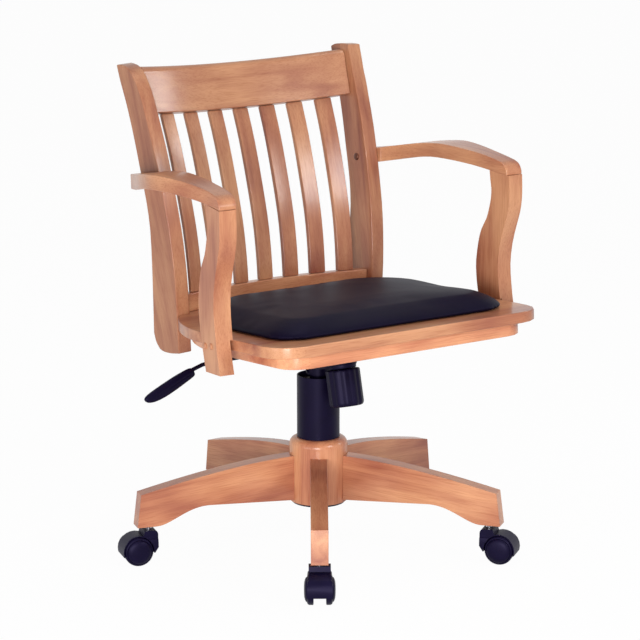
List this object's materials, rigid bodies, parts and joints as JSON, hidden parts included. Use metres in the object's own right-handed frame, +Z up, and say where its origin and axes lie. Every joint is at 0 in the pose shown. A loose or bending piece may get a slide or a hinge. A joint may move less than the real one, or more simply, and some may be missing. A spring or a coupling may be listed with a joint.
{
  "type": "swivel armchair",
  "caption": "Wooden bankers armchair with a slatted back, curved arms and a vinyl cushion, on a tilting gas-lift column and a star base with twin-wheel casters.",
  "frame": {"origin": "on the floor, under the middle of the chair's depth and width; the column's axis stands at x = 0, 25.5 mm in front of it", "axes": "+Z up, -Y towards the front of the chair, +X to the left of a person who sits in it"},
  "size_m": [0.685, 0.6532, 0.8328],
  "materials": {
    "lacquered_wood": "satin clear lacquer",
    "cushion_vinyl": "smooth satin vinyl",
    "black_plastic": "fine moulded",
    "black_steel": "semi-gloss black",
    "chromed_steel": "polished",
    "spring_steel": "drawn, oiled"
  },
  "bodies": {
    "base": {"base_hub": "lacquered_wood", "hub_bottom_plate": "black_steel", "base_leg_1": "lacquered_wood", "base_leg_2": "lacquered_wood", "base_leg_3": "lacquered_wood", "base_leg_4": "lacquered_wood", "base_leg_5": "lacquered_wood", "caster_stem_1": "chromed_steel", "caster_stem_2": "chromed_steel", "caster_stem_3": "chromed_steel", "caster_stem_4": "chromed_steel", "caster_stem_5": "chromed_steel", "cover_tube": "black_plastic", "outer_tube": "black_steel", "guide_bush": "black_plastic"},
    "spindle": {"piston_rod": "spring_steel"},
    "mechanism": {"gas_cylinder": "black_steel", "tilt_housing": "black_steel", "tilt_axle": "spring_steel", "tension_bolt": "spring_steel", "tension_spring": "spring_steel"},
    "seat": {"seat_plate": "black_steel", "seat_board": "lacquered_wood", "seat_lower_board": "lacquered_wood", "cushion": "cushion_vinyl", "crest_rail": "lacquered_wood", "lower_rail": "lacquered_wood", "back_slat_1": "lacquered_wood", "back_slat_2": "lacquered_wood", "back_slat_3": "lacquered_wood", "back_slat_4": "lacquered_wood", "back_slat_5": "lacquered_wood", "back_slat_6": "lacquered_wood", "back_slat_7": "lacquered_wood", "back_post_left": "lacquered_wood", "back_post_right": "lacquered_wood", "armrest_left": "lacquered_wood", "armrest_right": "lacquered_wood", "arm_post_left": "lacquered_wood", "arm_post_right": "lacquered_wood"},
    "tension_adjuster": {"tension_knob": "black_plastic"},
    "rocker": {"lever_rocker": "black_steel"},
    "lever": {"lever_rod": "black_steel", "lever_handle": "black_plastic"},
    "button": {"release_button": "spring_steel"},
    "caster_1": {"caster_hood_1": "black_plastic"},
    "wheel_left_1": {"caster_wheel_left_1": "black_plastic"},
    "wheel_right_1": {"caster_wheel_right_1": "black_plastic"},
    "caster_2": {"caster_hood_2": "black_plastic"},
    "wheel_left_2": {"caster_wheel_left_2": "black_plastic"},
    "wheel_right_2": {"caster_wheel_right_2": "black_plastic"},
    "caster_3": {"caster_hood_3": "black_plastic"},
    "wheel_left_3": {"caster_wheel_left_3": "black_plastic"},
    "wheel_right_3": {"caster_wheel_right_3": "black_plastic"},
    "caster_4": {"caster_hood_4": "black_plastic"},
    "wheel_left_4": {"caster_wheel_left_4": "black_plastic"},
    "wheel_right_4": {"caster_wheel_right_4": "black_plastic"},
    "caster_5": {"caster_hood_5": "black_plastic"},
    "wheel_left_5": {"caster_wheel_left_5": "black_plastic"},
    "wheel_right_5": {"caster_wheel_right_5": "black_plastic"}
  },
  "joints": [
    {"name": "seat_swivel", "type": "hinge", "parent": "base", "child": "spindle", "pos_m": [0, -0.02548, 0.3], "axis": [0, 0, 1], "continuous": true},
    {"name": "column_lift", "type": "slide", "parent": "spindle", "child": "mechanism", "axis": [0, 0, 1], "range_m": [0, 0.1]},
    {"name": "seat_tilt", "type": "hinge", "parent": "mechanism", "child": "seat", "pos_m": [0, -0.00548, 0.352], "axis": [-1, 0, 0], "range_deg": [0, 12], "stiffness_Nm_per_rad": 60, "springref_deg": -28.65, "deforming": ["tension_spring"]},
    {"name": "tension_turn", "type": "hinge", "parent": "mechanism", "child": "tension_adjuster", "pos_m": [0, -0.09648, 0.32705], "axis": [0, 0.225, 0.9744], "continuous": true},
    {"name": "lever_lift", "type": "hinge", "parent": "mechanism", "child": "rocker", "pos_m": [-0.022, -0.02548, 0.357], "axis": [0, 1, 0], "range_deg": [0, 5]},
    {"name": "lever_pull", "type": "slide", "parent": "rocker", "child": "lever", "axis": [-1, 0, 0], "range_m": [0, 0.012]},
    {"name": "button_press", "type": "slide", "parent": "mechanism", "child": "button", "axis": [0, 0, -1], "range_m": [0, 0.0022], "stiffness_N_per_m": 3000},
    {"name": "caster_swivel_1", "type": "hinge", "parent": "base", "child": "caster_1", "pos_m": [-0.17206, -0.27489, 0.06], "axis": [0, 0, 1], "continuous": true},
    {"name": "wheel_left_spin_1", "type": "hinge", "parent": "caster_1", "child": "wheel_left_1", "pos_m": [-0.18398, -0.29218, 0.025], "axis": [0.8231, -0.5678, 0], "continuous": true},
    {"name": "wheel_right_spin_1", "type": "hinge", "parent": "caster_1", "child": "wheel_right_1", "pos_m": [-0.18398, -0.29218, 0.025], "axis": [0.8231, -0.5678, 0], "continuous": true},
    {"name": "caster_swivel_2", "type": "hinge", "parent": "base", "child": "caster_2", "pos_m": [0.18403, -0.26619, 0.06], "axis": [0, 0, 1], "continuous": true},
    {"name": "wheel_left_spin_2", "type": "hinge", "parent": "caster_2", "child": "wheel_left_2", "pos_m": [0.19679, -0.28287, 0.025], "axis": [0.7944, 0.6074, 0], "continuous": true},
    {"name": "wheel_right_spin_2", "type": "hinge", "parent": "caster_2", "child": "wheel_right_2", "pos_m": [0.19679, -0.28287, 0.025], "axis": [0.7944, 0.6074, 0], "continuous": true},
    {"name": "caster_swivel_3", "type": "hinge", "parent": "base", "child": "caster_3", "pos_m": [0.2858, 0.07517, 0.06], "axis": [0, 0, 1], "continuous": true},
    {"name": "wheel_left_spin_3", "type": "hinge", "parent": "caster_3", "child": "wheel_left_3", "pos_m": [0.3056, 0.08214, 0.025], "axis": [-0.3322, 0.9432, 0], "continuous": true},
    {"name": "wheel_right_spin_3", "type": "hinge", "parent": "caster_3", "child": "wheel_right_3", "pos_m": [0.3056, 0.08214, 0.025], "axis": [-0.3322, 0.9432, 0], "continuous": true},
    {"name": "caster_swivel_4", "type": "hinge", "parent": "base", "child": "caster_4", "pos_m": [-0.0074, 0.27743, 0.06], "axis": [0, 0, 1], "continuous": true},
    {"name": "wheel_left_spin_4", "type": "hinge", "parent": "caster_4", "child": "wheel_left_4", "pos_m": [-0.00792, 0.29842, 0.025], "axis": [-0.9997, -0.0244, 0], "continuous": true},
    {"name": "wheel_right_spin_4", "type": "hinge", "parent": "caster_4", "child": "wheel_right_4", "pos_m": [-0.00792, 0.29842, 0.025], "axis": [-0.9997, -0.0244, 0], "continuous": true},
    {"name": "caster_swivel_5", "type": "hinge", "parent": "base", "child": "caster_5", "pos_m": [-0.29037, 0.06108, 0.06], "axis": [0, 0, 1], "continuous": true},
    {"name": "wheel_left_spin_5", "type": "hinge", "parent": "caster_5", "child": "wheel_left_5", "pos_m": [-0.3105, 0.06708, 0.025], "axis": [-0.2857, -0.9583, 0], "continuous": true},
    {"name": "wheel_right_spin_5", "type": "hinge", "parent": "caster_5", "child": "wheel_right_5", "pos_m": [-0.3105, 0.06708, 0.025], "axis": [-0.2857, -0.9583, 0], "continuous": true}
  ],
  "couplings": [
    {"joint": "button_press", "follows": "lever_lift", "m_per_rad": 0.0241}
  ]
}
